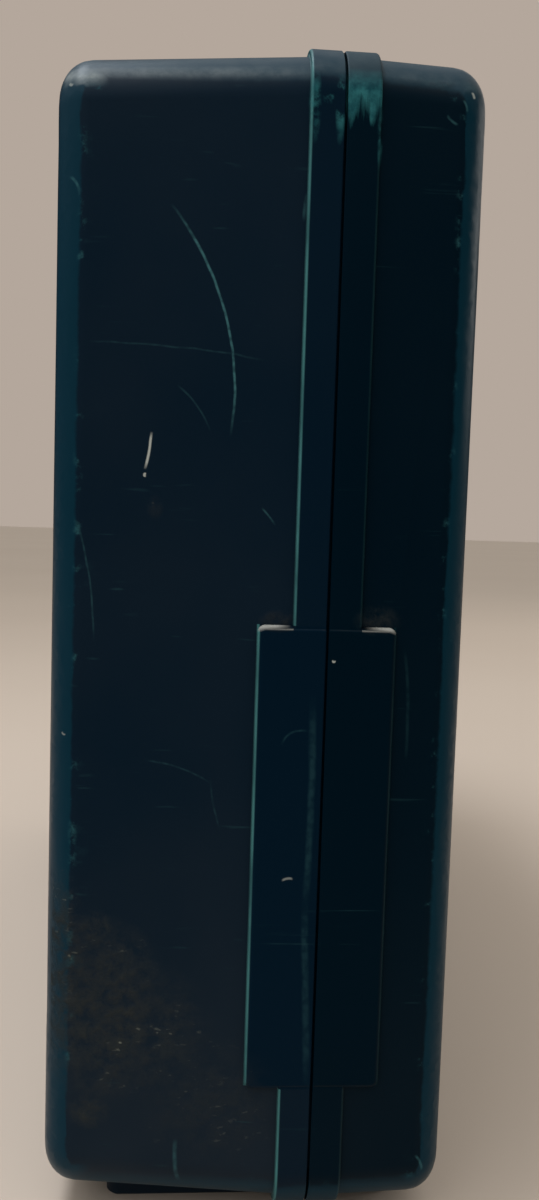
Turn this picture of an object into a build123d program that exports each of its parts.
"""Moulded plastic toolbox with a lift-out tray, standing on its hinge side with the carry handle up.

Frame: +Z up, +Y along the length of the case, +X out through the lid.
The origin is at the centre of the footprint, on the surface that the feet stand on.
All sizes are in millimetres.
"""

import os
from math import acos, atan2, cos, degrees, hypot, radians, sin, tan

from build123d import *

# ---------------------------------------------------------------- driving dimensions
case_length = 390.0  # along Y, over the shells at the seam
case_height = 321.5  # along Z, over the shells at the seam
base_depth = 75.0  # seam to the back of the deep shell
lid_depth = 39.0  # seam to the face of the lid
wall = 2.8
base_draft = 3.0  # degrees, side walls of the deep shell
lid_draft = 1.4  # degrees, side walls of the lid
corner_radius = 15.0  # seen from the large faces
back_fillet = 9.5
foot_height = 6.2  # from the floor to the shells' lower wall at the seam
seam_gap = 0.3  # each shell stops this far short of the seam plane

# Rim band round the seam, with a wider pad at each end of the case
band_width = 9.25
band_proud = 1.3
pad_proud = 1.6
pad_width = 18.85
pad_low, pad_high = 39.4, 168.9  # above the shells' lower wall
edge_round = 0.8
pad_corner, pad_round = 2.2, 1.5  # seen from the end, and over its edges

# Tongue on the base, groove in the lid
tongue_inset, tongue_thickness, tongue_reach = 0.6, 1.2, 1.5
groove_clearance = 0.3
tongue_start = 15.0  # above the shells' lower wall, clear of the hinge

# Hinge
hinge_span = 70.0
hinge_y = 95.0
knuckle_count = 5
knuckle_gap = 0.4
knuckle_radius = 3.6
notch_clearance = 0.5
pin_radius = 1.5
running_clearance = 0.05

# Feet on the hinge side
foot_y, foot_length = 155.0, 40.0
foot_start = 8.0  # from the seam plane: the feet meet when the lid is fully open
base_foot_end, lid_foot_end = 58.0, 29.0

# Carry handle and its pocket
handle_pivot_x = 1.0
handle_pivot_drop = 7.5  # below the shells' upper wall at the seam
handle_half_width = 64.0
handle_thickness = 12.0
handle_arm = 12.0
handle_grip = 14.0
handle_reach = 42.0  # pivot to the far edge of the grip
pocket_depth = 16.0
pocket_half_length = 66.0
pocket_back_gap, pocket_front_gap = 3.5, 7.0
handle_pin_radius = 2.0
handle_pin_head_radius, handle_pin_head = 3.4, 2.0

# Latches
latch_y = 128.0
latch_width = 38.0
latch_pivot = (-13.0, 2.4)  # from the seam plane and the top of the rim band
latch_boss_radius = 3.9
ear_thickness, ear_gap = 4.0, 0.4

# Tray
tray_depth = 33.8
tray_top_drop = 1.2  # below the seam plane
tray_half_length = 184.0
tray_low, tray_high = 9.0, 294.0  # above the shells' lower wall
tray_rim_reach, tray_rim_thickness = 5.0, 2.0
tray_floor = 2.0
tray_draft = 1.0
tray_wall = 2.0
compartment_fillet = 3.0
band_splits = (108.0, 202.0)  # lower edges of the two long walls, above the shells' lower wall
middle_half_length = 50.0
divider_thickness = 1.6
divider_slack = 0.4
slot_rib = (1.4, 1.5)  # thickness along Y, height from the wall
bail_wire_radius = 2.0
bail_half_width = 46.5
bail_reach = 28.0
bail_pivot_drop = 5.5  # below the seam plane
bail_clearance = 0.08

# Blank label plate, let into the face of the lid
label_size = (130.0, 44.0)
label_lift = 78.0  # centre of the plate above the middle of the lid
label_depth = 0.6
panel_margin, panel_cut = 30.0, 1.2  # sunk panel on each large face

# ---------------------------------------------------------------- worked-out places
seam_x = (base_depth - lid_depth) / 2
low_z = foot_height
top_z = low_z + case_height
mid_z = (low_z + top_z) / 2
band_top = top_z + band_proud
hinge_z = low_z - band_proud - 0.2
handle_pivot_z = top_z - handle_pivot_drop
tray_back_x = seam_x - tray_top_drop - tray_depth
tray_top_x = seam_x - tray_top_drop
tray_floor_x = tray_back_x + tray_floor
ledge_x = tray_top_x - tray_rim_thickness - 0.2
end_ledges = (low_z + 85.0, low_z + 235.0)
lid_rib_heights = (low_z + 130.0, low_z + 235.0)


# ---------------------------------------------------------------- helpers
def seam_plane(side, distance):
    """A plane parallel to the seam, `distance` out from it: side -1 is the base, +1 the lid."""
    origin = (seam_x + side * distance, 0, mid_z)
    return Plane(origin=origin, x_dir=(0, 1, 0), z_dir=(side, 0, 0))


def rounded_outline(side, distance, inset, radius):
    size = (case_length - 2 * inset, case_height - 2 * inset)
    return seam_plane(side, distance) * RectangleRounded(*size, radius)


def drafted_block(side, start, end, inset, draft, radius):
    """A block with rounded corners whose side walls lean in by `draft` from the seam outwards."""
    slope = tan(radians(draft))
    near = rounded_outline(side, start, inset + start * slope, radius)
    far = rounded_outline(side, end, inset + end * slope, radius)
    return loft([near.face(), far.face()], ruled=True)


def far_edges(block, side):
    groups = block.edges().group_by(Axis.X)
    return groups[-1] if side > 0 else groups[0]


def side_profile(sketch, y, width):
    """Extrudes a sketch drawn in X and Z, centred on y."""
    plane = Plane(origin=(0, y, 0), x_dir=(1, 0, 0), z_dir=(0, -1, 0))
    return extrude(plane * sketch, amount=width / 2, both=True)


def box_between(low, high):
    size = [b - a for a, b in zip(low, high)]
    centre = [(a + b) / 2 for a, b in zip(low, high)]
    return Pos(*centre) * Box(*size)


def rod(radius, start, end):
    """A round bar along Y between two points that share X and Z."""
    length = end[1] - start[1]
    plane = Plane(origin=start, x_dir=(1, 0, 0), z_dir=(0, 1, 0))
    return extrude(plane * Circle(radius), amount=length)


def chamfered_rod(radius, start, end, size=0.4):
    bar = rod(radius, start, end)
    return chamfer(bar.edges().filter_by(GeomType.CIRCLE), size)


# ---------------------------------------------------------------- shells
def rim_band(side):
    """The raised band beside the seam, with a wider pad at each end of the case."""
    near = rounded_outline(side, seam_gap, -band_proud, corner_radius + band_proud)
    band = extrude(near, amount=band_width - seam_gap)
    band = fillet(far_edges(band, side), edge_round)
    face_y = case_length / 2 + pad_proud
    for end in (-1, 1):
        x_reach = sorted((seam_x + side * seam_gap, seam_x + side * pad_width))
        y_reach = sorted((end * (face_y - 6.0), end * face_y))
        pad = box_between(
            (x_reach[0], y_reach[0], low_z + pad_low),
            (x_reach[1], y_reach[1], low_z + pad_high),
        )
        pad = fillet(pad.edges().filter_by(Axis.Y).group_by(Axis.X)[-1 if side > 0 else 0], pad_corner)
        outer = pad.faces().sort_by(Axis.Y)[-1 if end > 0 else 0]
        seam_face = pad.faces().sort_by(Axis.X)[0 if side > 0 else -1]
        rim = [e for e in outer.edges() if abs(e.center().X - seam_face.center().X) > 0.1]
        band += fillet(rim, pad_round)
    near_edges = band.edges().group_by(Axis.X)[0 if side > 0 else -1]
    return chamfer(near_edges, 0.35)


def feet(side, end_distance):
    blocks = []
    for y in (-foot_y, foot_y):
        x_reach = sorted((seam_x + side * foot_start, seam_x + side * end_distance))
        block = box_between(
            (x_reach[0], y - foot_length / 2, 0),
            (x_reach[1], y + foot_length / 2, low_z + 5.0),
        )
        block = fillet(block.edges().filter_by(Axis.Z), 4.0)
        blocks.append(chamfer(block.edges().group_by(Axis.Z)[0], 0.8))
    return blocks


def knuckle_places(side):
    """Middle Y and length of each knuckle that belongs to one shell."""
    pitch = hinge_span / knuckle_count
    for centre in (-hinge_y, hinge_y):
        for i in range(knuckle_count):
            if (i % 2 == 0) == (side < 0):
                yield centre - hinge_span / 2 + (i + 0.5) * pitch, pitch - knuckle_gap


def knuckle_profile(side):
    """A round eye on the hinge axis with a gusset running back to the rim band."""
    root = (band_width - edge_round, hinge_z + 0.2)
    reach = hypot(root[0], root[1] - hinge_z)
    angle = atan2(root[1] - hinge_z, root[0]) - acos(knuckle_radius / reach)
    touch = (knuckle_radius * cos(angle), hinge_z + knuckle_radius * sin(angle))
    points = [(0, hinge_z), touch, root, (root[0], hinge_z + 3.0), (0, hinge_z + 3.0)]
    gusset = Polygon(*[(seam_x + side * x, z) for x, z in points], align=None)
    return Pos(seam_x, hinge_z) * Circle(knuckle_radius) + gusset


def knuckles(side):
    return [side_profile(knuckle_profile(side), y, width) for y, width in knuckle_places(side)]


def knuckle_notches(side):
    """Room in one shell for the other shell's knuckles."""
    cuts = []
    for y, width in knuckle_places(-side):
        half = width / 2 + 2 * knuckle_gap
        cuts.append(
            rod(
                knuckle_radius + notch_clearance,
                (seam_x, y - half, hinge_z),
                (seam_x, y + half, hinge_z),
            )
        )
    return cuts


def hinge_bores():
    half = hinge_span / 2 + 1
    return [
        rod(pin_radius + running_clearance, (seam_x, y - half, hinge_z), (seam_x, y + half, hinge_z))
        for y in (-hinge_y, hinge_y)
    ]


def tongue_ring(clearance, start, end, low_limit):
    """A thin ring just inside the shells' outer surface, open on the hinge side."""
    outer = tongue_inset - clearance
    inner = tongue_inset + tongue_thickness + clearance
    ring = rounded_outline(1, start, outer, corner_radius - outer) - rounded_outline(
        1, start, inner, corner_radius - inner
    )
    solid = extrude(ring, amount=end - start)
    below = box_between(
        (seam_x - 50, -case_length, low_z - 20), (seam_x + 50, case_length, low_z + low_limit)
    )
    return solid - below


def face_recess(side, depth):
    """A shallow panel sunk into a shell's large face, with sloping edges."""
    size = (case_length - 2 * panel_margin, case_height - 2 * panel_margin)
    mouth = seam_plane(side, depth + 0.01) * RectangleRounded(*size, 14.0)
    floor = seam_plane(side, depth - panel_cut) * RectangleRounded(size[0] - 2.4, size[1] - 2.4, 12.8)
    return loft([mouth.face(), floor.face()], ruled=True)


def label_block(gap, thickness):
    """The label's outline, smaller by `gap` all round, standing out from the bottom of its seat."""
    seat = seam_plane(1, lid_depth - panel_cut - label_depth + 0.1)
    outline = RectangleRounded(label_size[0] - 2 * gap, label_size[1] - 2 * gap, 5.0 - gap)
    return Pos(0, 0, label_lift) * extrude(seat * outline, amount=thickness)


def label_plate():
    plate = label_block(0.3, label_depth)
    return chamfer(plate.edges().group_by(Axis.X)[-1], 0.2)


def handle_pocket(grow):
    """The well that the folded handle lies in, grown by `grow` on every side but the top."""
    back = handle_pivot_x - handle_reach - pocket_back_gap - grow
    front = handle_pivot_x + pocket_front_gap + grow
    half = pocket_half_length + grow
    block = box_between(
        (back, -half, top_z - pocket_depth - grow), (front, half, top_z + 10)
    )
    block = fillet(block.edges().filter_by(Axis.Z), 4.0 + grow)
    return fillet(block.edges().group_by(Axis.Z)[0], 2.5 + grow)


def latch_ears():
    """Two upright lugs each side of a latch, which carry its pin."""
    x = seam_x + latch_pivot[0]
    z = band_top + latch_pivot[1]
    root = Polygon((x - 6.5, top_z - 2), (x + 6.5, top_z - 2), (x + 4.2, z), (x - 4.2, z), align=None)
    profile = Pos(x, z) * Circle(4.2) + root
    offset = latch_width / 2 + ear_gap + ear_thickness / 2
    return [
        side_profile(profile, side * latch_y + ear * offset, ear_thickness)
        for side in (-1, 1)
        for ear in (-1, 1)
    ]


def latch_bores():
    x, z = seam_x + latch_pivot[0], band_top + latch_pivot[1]
    half = latch_width / 2 + ear_gap + ear_thickness + 1
    radius = pin_radius + running_clearance
    return [rod(radius, (x, y - half, z), (x, y + half, z)) for y in (-latch_y, latch_y)]


def tray_ledges():
    """Ribs inside the base that the tray's rim rests on."""
    back_x = seam_x - base_depth + 1.0
    half_in = case_length / 2
    ribs = []
    for z in end_ledges:
        for end in (-1, 1):
            y_reach = sorted((end * (tray_half_length + 1.5), end * (half_in - 1.0)))
            ribs.append(box_between((back_x, y_reach[0], z - 6), (ledge_x, y_reach[1], z + 6)))
    for y in (-100.0, 100.0):
        ribs.append(box_between((back_x, y - 6, low_z + 1.0), (ledge_x, y + 6, low_z + 8.0)))
    for y in (-112.0, 112.0):
        ribs.append(
            box_between((back_x, y - 6, low_z + tray_high + 1.5), (ledge_x, y + 6, low_z + 304.0))
        )
    return ribs


def base_partitions():
    """Low walls moulded into the floor of the base, under the tray."""
    floor_x = seam_x - base_depth + 1.0
    height_x = floor_x + 27.0
    half = case_length / 2 - 1.0
    long_wall = box_between((floor_x, -half, low_z + 118), (height_x, half, low_z + 120.2))
    short_wall = box_between((floor_x, 48, low_z + 119), (height_x, 50.2, top_z - 1.0))
    return [long_wall, short_wall]


def base_shell():
    side = -1
    outer = drafted_block(side, seam_gap, base_depth, 0, base_draft, corner_radius)
    outer = fillet(far_edges(outer, side), back_fillet)
    cavity = drafted_block(side, -2.0, base_depth - wall, wall, base_draft, corner_radius - wall)
    cavity = fillet(far_edges(cavity, side), back_fillet - wall)
    body = outer + rim_band(side)
    for piece in feet(side, base_foot_end) + knuckles(side) + latch_ears():
        body += piece
    cavity -= handle_pocket(wall)
    for rib in tray_ledges() + base_partitions():
        cavity -= rib
    body -= cavity
    body -= face_recess(side, base_depth)
    body -= handle_pocket(0)
    for cut in knuckle_notches(side) + hinge_bores() + latch_bores() + handle_pin_bores():
        body -= cut
    return body + tongue_ring(0, -seam_gap - 1.0, tongue_reach + seam_gap, tongue_start)


def lid_ribs():
    """Ribs on the lid's end walls that keep the tray's rim on its ledges."""
    ribs = []
    for z in lid_rib_heights:
        for end in (-1, 1):
            y_reach = sorted((end * (tray_half_length + 1.5), end * (case_length / 2 - 1.0)))
            low = (seam_x + seam_gap + 0.3, y_reach[0], z - 5)
            ribs.append(box_between(low, (seam_x + lid_depth - 1.0, y_reach[1], z + 5)))
    return ribs


def lid_shell():
    side = 1
    outer = drafted_block(side, seam_gap, lid_depth, 0, lid_draft, corner_radius)
    outer = fillet(far_edges(outer, side), back_fillet)
    cavity = drafted_block(side, -2.0, lid_depth - wall, wall, lid_draft, corner_radius - wall)
    cavity = fillet(far_edges(cavity, side), back_fillet - wall)
    body = outer + rim_band(side)
    for piece in feet(side, lid_foot_end) + knuckles(side):
        body += piece
    for rib in lid_ribs():
        cavity -= rib
    body -= cavity
    body -= face_recess(side, lid_depth)
    body -= label_block(0, 5.0)
    body -= tongue_ring(groove_clearance, -1.0, tongue_reach + seam_gap + 0.5, tongue_start - 3.0)
    for cut in knuckle_notches(side) + hinge_bores():
        body -= cut
    return body


# ---------------------------------------------------------------- handle
def handle_pin_bores():
    x, z = handle_pivot_x, handle_pivot_z
    radius = handle_pin_radius + running_clearance
    reach = pocket_half_length + wall + 1
    return [rod(radius, (x, -reach, z), (x, reach, z))]


def carry_handle():
    """A U-shaped grip, folded back flat into its pocket."""
    far = handle_pivot_x - handle_reach
    near = handle_pivot_x
    plane = Plane.XY.offset(handle_pivot_z - handle_thickness / 2)
    outline = Pos((far + near) / 2, 0) * Rectangle(near - far, 2 * handle_half_width)
    outline = fillet(outline.vertices().group_by(Axis.X)[0], 13.0)
    hole_half = handle_half_width - handle_arm
    hole = Pos((far + handle_grip + near) / 2 + 5, 0) * Rectangle(
        near - far - handle_grip + 10, 2 * hole_half
    )
    hole = fillet(hole.vertices().group_by(Axis.X)[0], 7.0)
    body = extrude(plane * (outline - hole), amount=handle_thickness)
    rounding = [e for e in body.edges() if abs(e.center().X - near) > 0.5]
    rounding = [e for e in rounding if abs(e.tangent_at(0.5).Z) < 0.5]
    body = fillet(rounding, 4.5)
    for side in (-1, 1):
        ends = sorted((side * handle_half_width, side * hole_half))
        x, z = near, handle_pivot_z
        eye = rod(handle_thickness / 2, (x, ends[0], z), (x, ends[1], z))
        body += fillet(eye.edges().filter_by(GeomType.CIRCLE), 1.5)
        bore = sorted((side * (handle_half_width + 1), side * (hole_half + 2.5)))
        body -= rod(handle_pin_radius + running_clearance, (x, bore[0], z), (x, bore[1], z))
    return body


def handle_pin(side):
    x, z = handle_pivot_x, handle_pivot_z
    inner_face = pocket_half_length + wall
    tip = handle_half_width - handle_arm + 3.0
    ends = sorted((side * tip, side * (inner_face + 0.5)))
    head = sorted((side * (inner_face + 0.2), side * (inner_face + 0.2 + handle_pin_head)))
    shank = rod(handle_pin_radius, (x, ends[0], z), (x, ends[1], z))
    cap = rod(handle_pin_head_radius, (x, head[0], z), (x, head[1], z))
    outer = cap.edges().filter_by(GeomType.CIRCLE).sort_by(Axis.Y)[-1 if side > 0 else 0]
    return shank + fillet(outer, 1.2)


# ---------------------------------------------------------------- latches
def latch(side):
    """A flap pivoted on the base that hooks over the far edge of the lid's rim band."""
    x, z = seam_x, band_top
    hook_x = band_width + 0.4
    flap = Polygon(
        (x - 13.0, z + 0.5),
        (x + hook_x, z + 0.5),
        (x + hook_x, z - 1.0),
        (x + hook_x + 2.6, z - 1.0),
        (x + hook_x + 3.0, z + 1.4),
        (x + 16.0, z + 2.2),
        (x + 18.0, z + 4.6),
        (x + 16.8, z + 5.4),
        (x + 13.0, z + 4.3),
        (x - 13.0, z + 4.3),
        align=None,
    )
    boss = Pos(x + latch_pivot[0], z + latch_pivot[1]) * Circle(latch_boss_radius)
    body = side_profile(flap + boss, side * latch_y, latch_width)
    cheeks = body.faces().sort_by(Axis.Y)
    rim = [*cheeks[0].edges(), *cheeks[-1].edges()]
    body = chamfer(rim, 0.7)
    half = latch_width / 2 + 1
    axis = (x + latch_pivot[0], z + latch_pivot[1])
    start = (axis[0], side * latch_y - half, axis[1])
    end = (axis[0], side * latch_y + half, axis[1])
    return body - rod(pin_radius + running_clearance, start, end)


def latch_pin(side):
    x, z = seam_x + latch_pivot[0], band_top + latch_pivot[1]
    half = latch_width / 2 + ear_gap + ear_thickness
    return chamfered_rod(pin_radius, (x, side * latch_y - half, z), (x, side * latch_y + half, z))


def hinge_pin(side):
    half = hinge_span / 2 - knuckle_gap / 2
    return chamfered_rod(
        pin_radius, (seam_x, side * hinge_y - half, hinge_z), (seam_x, side * hinge_y + half, hinge_z)
    )


# ---------------------------------------------------------------- tray
def tray_plane(x):
    """A plane facing the lid, for outlines given in Y and Z."""
    return Plane(origin=(x, 0, 0), x_dir=(0, 1, 0), z_dir=(1, 0, 0))


def tray_outline(x, low, high, radius, draft):
    """A rounded outline at depth x, between two (y, z) corners at the tray's top."""
    inset = (tray_top_x - x) * tan(radians(draft))
    width, height = high[0] - low[0] - 2 * inset, high[1] - low[1] - 2 * inset
    centre = ((low[0] + high[0]) / 2, (low[1] + high[1]) / 2)
    return tray_plane(x) * Pos(*centre) * RectangleRounded(width, height, radius)


def tray_block(x_low, x_high, low, high, radius, draft):
    near = tray_outline(x_low, low, high, radius, draft)
    far = tray_outline(x_high, low, high, radius, draft)
    return loft([near.face(), far.face()], ruled=True)


def compartment_corners():
    """Each compartment's (y, z) corners at the tray's top."""
    side = tray_half_length - tray_wall
    low = low_z + tray_low + tray_wall
    high = low_z + tray_high - tray_wall
    first, second = (low_z + s for s in band_splits)
    lower = [((-side, low), (side, first))]
    middle = [
        ((-side, first + tray_wall), (-middle_half_length - tray_wall, second)),
        ((-middle_half_length, first + tray_wall), (middle_half_length, second)),
        ((middle_half_length + tray_wall, first + tray_wall), (side, second)),
    ]
    upper = [((-side, second + tray_wall), (side, high))]
    return lower + middle + upper


def divider_places():
    """Name, Y, and the compartment of each removable divider."""
    boxes = compartment_corners()
    places = [(f"tray_divider_{i + 1}", y, boxes[-1]) for i, y in enumerate((-91.0, 0.0, 91.0))]
    return places + [("tray_divider_long", 70.0, boxes[0])]


def slot_ribs(y, corners):
    """Two pairs of ribs that hold a divider upright between a compartment's long walls."""
    (_, low), (_, high) = corners
    thickness, height = slot_rib
    gap = divider_thickness / 2 + 0.2
    ribs = []
    for sign in (-1, 1):
        ys = sorted((y + sign * gap, y + sign * (gap + thickness)))
        x_reach = (tray_floor_x - 0.5, tray_top_x - 5.0)
        ribs.append(box_between((x_reach[0], ys[0], low - 1.0), (x_reach[1], ys[1], low + height)))
        ribs.append(box_between((x_reach[0], ys[0], high - height), (x_reach[1], ys[1], high + 1.0)))
    return ribs


def tray():
    low = (-tray_half_length, low_z + tray_low)
    high = (tray_half_length, low_z + tray_high)
    body = tray_block(tray_back_x, tray_top_x, low, high, 8.0, tray_draft)
    body = fillet(body.edges().group_by(Axis.X)[0], 3.0)
    reach = tray_rim_reach
    rim = tray_block(
        tray_top_x - tray_rim_thickness,
        tray_top_x,
        (low[0] - reach, low[1] - reach + 0.5),
        (high[0] + reach, high[1] + reach - 1.0),
        9.0,
        0,
    )
    body += fillet(rim.edges().group_by(Axis.X)[-1], 0.8)
    hollows = []
    for corner_low, corner_high in compartment_corners():
        hollow = tray_block(tray_floor_x, tray_top_x + 2, corner_low, corner_high, 6.0, tray_draft)
        hollows.append(fillet(hollow.edges().group_by(Axis.X)[0], compartment_fillet))
    for hollow in hollows:
        body -= hollow
    for _, y, corners in divider_places():
        for rib in slot_ribs(y, corners):
            body += rib
    return body - bail_bore()


def bail_axis():
    first, second = (low_z + s for s in band_splits)
    return seam_x - bail_pivot_drop, (first + tray_wall + second) / 2


def bail_bore():
    x, z = bail_axis()
    reach = middle_half_length + tray_wall + 2.5
    return rod(bail_wire_radius + bail_clearance, (x, -reach, z), (x, reach, z))


def tray_bail():
    """A wire loop that hangs flat in the middle compartment and lifts the tray."""
    x, z = bail_axis()
    stub = middle_half_length + tray_wall + 0.6
    w = bail_half_width
    points = [(x, -stub, z), (x, -w, z), (x, -w, z - bail_reach), (x, w, z - bail_reach)]
    points += [(x, w, z), (x, stub, z)]
    path = FilletPolyline(*points, radius=3.2)
    plane = Plane(origin=points[0], x_dir=(1, 0, 0), z_dir=(0, 1, 0))
    return sweep(plane * Circle(bail_wire_radius), path=path)


def divider(y, corners):
    """A flat plate cut to the tapered section of its compartment."""
    (_, low), (_, high) = corners
    bottom, top = tray_floor_x + 0.3, tray_top_x - 3.0
    slope = tan(radians(tray_draft))
    base_inset = divider_slack + (tray_top_x - bottom) * slope
    top_inset = divider_slack + (tray_top_x - top) * slope
    cut = compartment_fillet + 0.4
    outline = Polygon(
        (bottom, low + base_inset + cut),
        (bottom + cut, low + base_inset),
        (top, low + top_inset),
        (top, high - top_inset),
        (bottom + cut, high - base_inset),
        (bottom, high - base_inset - cut),
        align=None,
    )
    return side_profile(outline, y, divider_thickness)


def parts_bin(side):
    """A small open cup that lifts out of a middle compartment."""
    corners = compartment_corners()[1 if side < 0 else 3]
    gap, thickness = 1.0, 1.6
    low = (corners[0][0] + gap, corners[0][1] + gap)
    high = (corners[1][0] - gap, corners[1][1] - gap)
    floor_x, top_x = tray_floor_x + 0.4, tray_top_x - 3.5
    outer = tray_block(floor_x, top_x, low, high, 6.0, tray_draft)
    outer = fillet(outer.edges().group_by(Axis.X)[0], compartment_fillet + 0.6)
    inner_low = (low[0] + thickness, low[1] + thickness)
    inner_high = (high[0] - thickness, high[1] - thickness)
    inner = tray_block(floor_x + thickness, top_x + 1, inner_low, inner_high, 4.6, tray_draft)
    return outer - fillet(inner.edges().group_by(Axis.X)[0], 2.6)


# ---------------------------------------------------------------- write the parts
def all_parts():
    parts = {"base_shell": base_shell(), "lid_shell": lid_shell(), "carry_handle": carry_handle()}
    for name, side in (("left", -1), ("right", 1)):
        parts[f"hinge_pin_{name}"] = hinge_pin(side)
        parts[f"handle_pin_{name}"] = handle_pin(side)
        parts[f"latch_{name}"] = latch(side)
        parts[f"latch_pin_{name}"] = latch_pin(side)
        parts[f"parts_bin_{name}"] = parts_bin(side)
    parts["label_plate"] = label_plate()
    parts["tray"] = tray()
    parts["tray_bail"] = tray_bail()
    for name, y, corners in divider_places():
        parts[name] = divider(y, corners)
    return parts


os.makedirs("parts", exist_ok=True)
for node, shape in all_parts().items():
    export_step(shape, f"parts/{node}.step")
